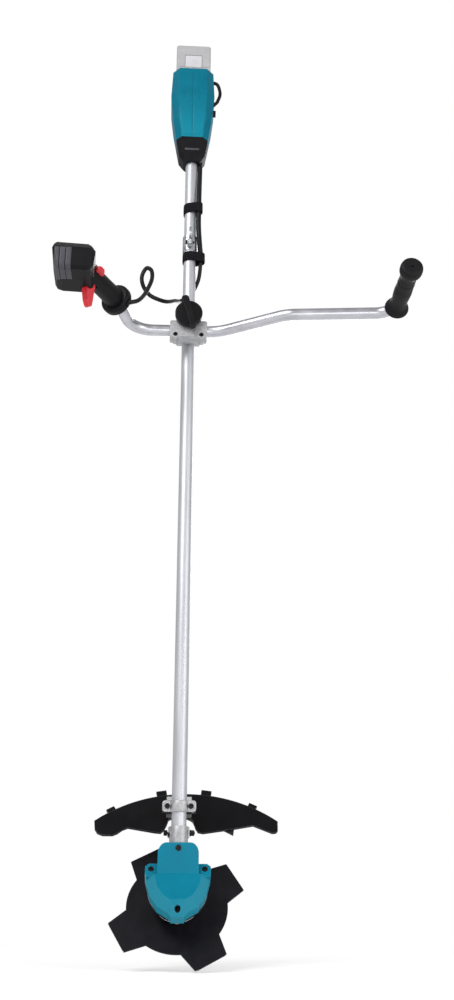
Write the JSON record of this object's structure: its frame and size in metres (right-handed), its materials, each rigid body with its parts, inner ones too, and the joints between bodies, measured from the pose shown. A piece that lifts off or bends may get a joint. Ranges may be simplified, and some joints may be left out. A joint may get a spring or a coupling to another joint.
{
  "type": "cordless brush cutter",
  "caption": "Battery brush cutter: straight pipe with a tilted motor head, toothed blade and guard, bicycle handle with trigger grip, and a sliding battery at the rear.",
  "frame": {"origin": "where the axis of the main pipe meets the axis of the motor", "axes": "+Z along the main pipe from the cutting head to the battery, -Y the side that faces up in use, +X the side of the user's left hand"},
  "size_m": [0.651, 0.4262, 1.8599],
  "materials": {
    "teal_plastic": "moulded, fine texture",
    "black_plastic": "moulded, fine texture",
    "grip_rubber": "soft matt",
    "cable_rubber": "smooth jacket",
    "wire_sheath": "smooth jacket",
    "satin_aluminium": "satin anodised",
    "polished_aluminium": "drawn and polished",
    "cast_aluminium": "as cast",
    "bright_steel": "zinc plated",
    "black_steel": "black oxide",
    "painted_black": "satin paint",
    "lamination_steel": "bare steel",
    "copper_wire": "enamelled wire",
    "red_plastic": "moulded",
    "grey_plastic": "moulded",
    "light_plastic": "moulded",
    "cell_wrap": "shrink wrap",
    "circuit_board": "solder mask",
    "strap_fabric": "hook and loop tape"
  },
  "bodies": {
    "frame": {"main_pipe": "satin_aluminium", "wiring_loom": "wire_sheath", "rear_housing_left": "teal_plastic", "rear_housing_right": "teal_plastic", "rear_nose": "black_plastic", "rear_housing_screws": "black_steel", "side_loop": "black_plastic", "cable_clip": "black_plastic", "battery_terminal_block": "black_plastic", "controller_unit": "grey_plastic", "cable_sleeve": "cable_rubber", "cable_strap_upper": "strap_fabric", "cable_strap_lower": "strap_fabric", "control_cable": "cable_rubber", "hanger_band": "bright_steel", "hanger_eye": "bright_steel", "hanger_screw": "bright_steel", "handle_base_front": "cast_aluminium", "handle_base_rear": "cast_aluminium", "handle_base_bolts": "black_steel", "knob_stud": "bright_steel", "guard_shell": "black_plastic", "guard_bracket": "cast_aluminium", "guard_bolts": "black_steel", "line_cutter": "black_steel", "neck_casting": "cast_aluminium", "neck_bolt": "black_steel", "locating_screw": "black_steel", "motor_housing": "painted_black", "head_cover": "teal_plastic", "head_cover_screws": "black_steel", "stator_core": "lamination_steel", "stator_windings": "copper_wire", "motor_bearings": "bright_steel"},
    "cutter": {"spindle": "bright_steel", "rotor_bell": "bright_steel", "rotor_magnets": "lamination_steel", "receiver_washer": "bright_steel", "cutting_blade": "painted_black", "clamp_washer": "bright_steel", "support_cup": "painted_black", "blade_nut": "bright_steel"},
    "handle": {"handle_holder_front": "cast_aluminium", "handle_holder_rear": "cast_aluminium", "handle_holder_bolts": "black_steel", "knob_washer": "bright_steel", "handlebar": "polished_aluminium", "left_grip": "grip_rubber", "control_housing_inner": "black_plastic", "control_housing_outer": "black_plastic", "control_housing_screws": "black_steel", "control_board": "circuit_board", "trigger_switch": "black_plastic"},
    "knob": {"clamp_knob": "black_plastic"},
    "throttle_trigger": {"trigger": "red_plastic"},
    "lock_off": {"lock_off_lever": "red_plastic"},
    "power_key": {"power_button": "grey_plastic"},
    "battery": {"battery_case": "grey_plastic", "battery_cells": "cell_wrap"},
    "battery_catch": {"battery_release_button": "light_plastic"}
  },
  "joints": [
    {"name": "cutter_spin", "type": "hinge", "parent": "frame", "child": "cutter", "pos_m": [0, 0.04361, -0.02832], "axis": [0, -0.8387, 0.5446], "continuous": true},
    {"name": "handle_swing", "type": "hinge", "parent": "frame", "child": "handle", "pos_m": [0, -0.04, 1.035], "axis": [0, 1, 0], "range_deg": [0, 90], "deforming": ["control_cable"]},
    {"name": "knob_turn", "type": "hinge", "parent": "frame", "child": "knob", "pos_m": [0, -0.064, 1.035], "axis": [0, -1, 0], "continuous": true},
    {"name": "trigger_pull", "type": "hinge", "parent": "handle", "child": "throttle_trigger", "pos_m": [-0.18189, -0.22906, 1], "axis": [0.8829, -0.4695, 0], "range_deg": [0, 22], "stiffness_Nm_per_rad": 0.4, "springref_deg": -11.46},
    {"name": "lock_off_press", "type": "slide", "parent": "handle", "child": "lock_off", "axis": [-0.8829, 0.4695, 0], "range_m": [0, 0.0035], "stiffness_N_per_m": 400, "springref_m": -0.002},
    {"name": "power_press", "type": "slide", "parent": "handle", "child": "power_key", "axis": [0, 0, -1], "range_m": [0, 0.0015], "stiffness_N_per_m": 600, "springref_m": -0.001},
    {"name": "battery_slide", "type": "slide", "parent": "frame", "child": "battery", "axis": [0, -1, 0], "range_m": [0, 0.11]},
    {"name": "battery_catch_press", "type": "slide", "parent": "battery", "child": "battery_catch", "axis": [0, 1, 0], "range_m": [0, 0.0018], "stiffness_N_per_m": 800, "springref_m": -0.001}
  ]
}
